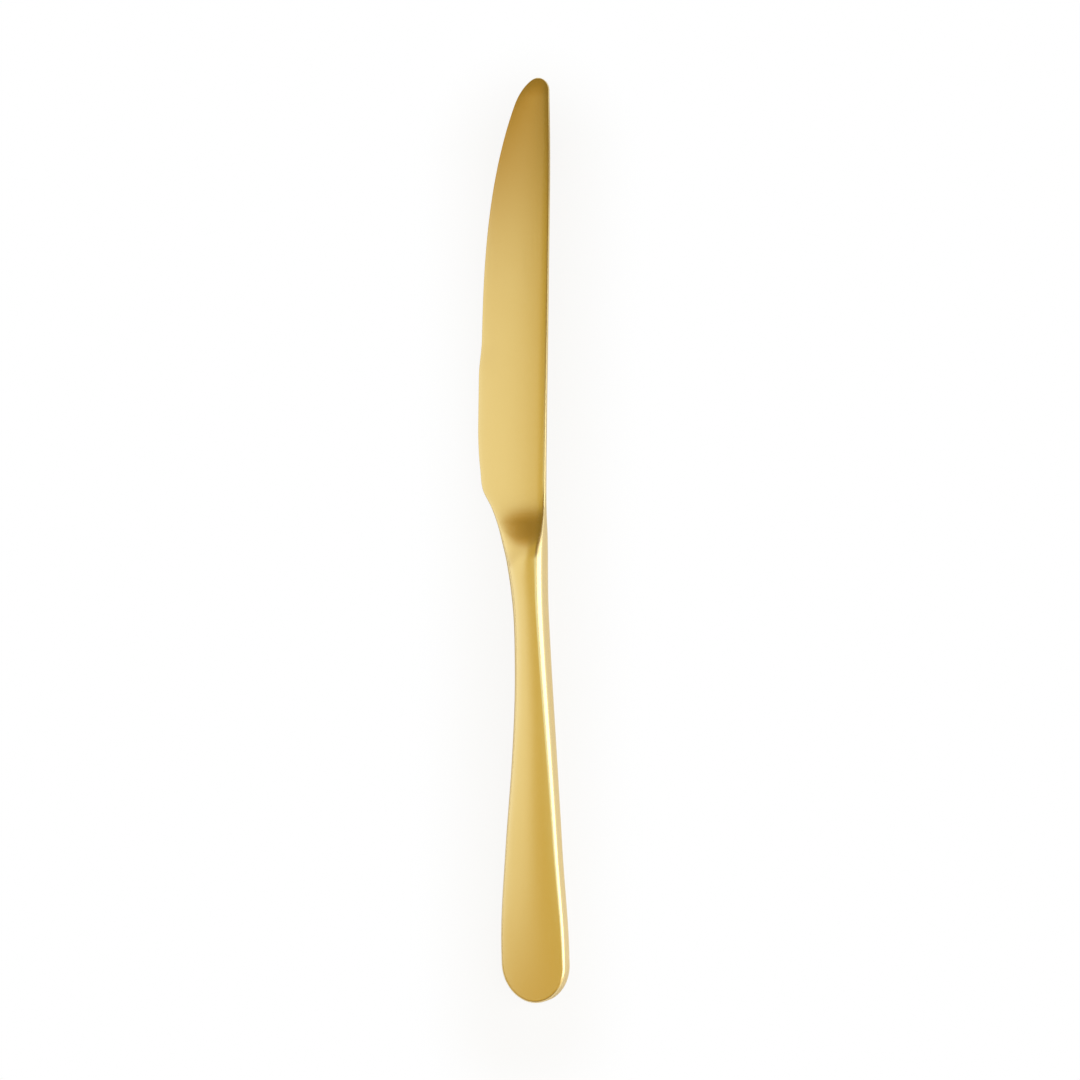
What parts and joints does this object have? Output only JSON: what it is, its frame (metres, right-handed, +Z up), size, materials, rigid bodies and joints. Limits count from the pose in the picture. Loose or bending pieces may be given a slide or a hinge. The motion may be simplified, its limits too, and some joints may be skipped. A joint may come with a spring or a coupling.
{
  "type": "table knife",
  "caption": "Slim gold-toned table knife: rounded blade, a hollow ramp up to a solid bolster, and a flat tapering hollow handle with a round butt.",
  "frame": {"origin": "bottom centre of the knife as it lies on the back of its handle", "axes": "+Y along the knife towards the blade's tip, +X across it towards the spine, with the cutting edge on the -X side, +Z up off the table"},
  "size_m": [0.024, 0.235, 0.0076],
  "materials": {
    "gold_steel": "stainless steel, satin brushed along its length under a thin gold-coloured coating",
    "braze": "brazing alloy, ground flush with the handle and coated over",
    "cement": "matt grey mineral-filled cement, hidden inside the handle"
  },
  "bodies": {
    "root": {"blade": "gold_steel", "handle_shell_front": "gold_steel", "handle_shell_back": "gold_steel", "seam_braze": "braze", "tang_cement": "cement"}
  },
  "joints": []
}
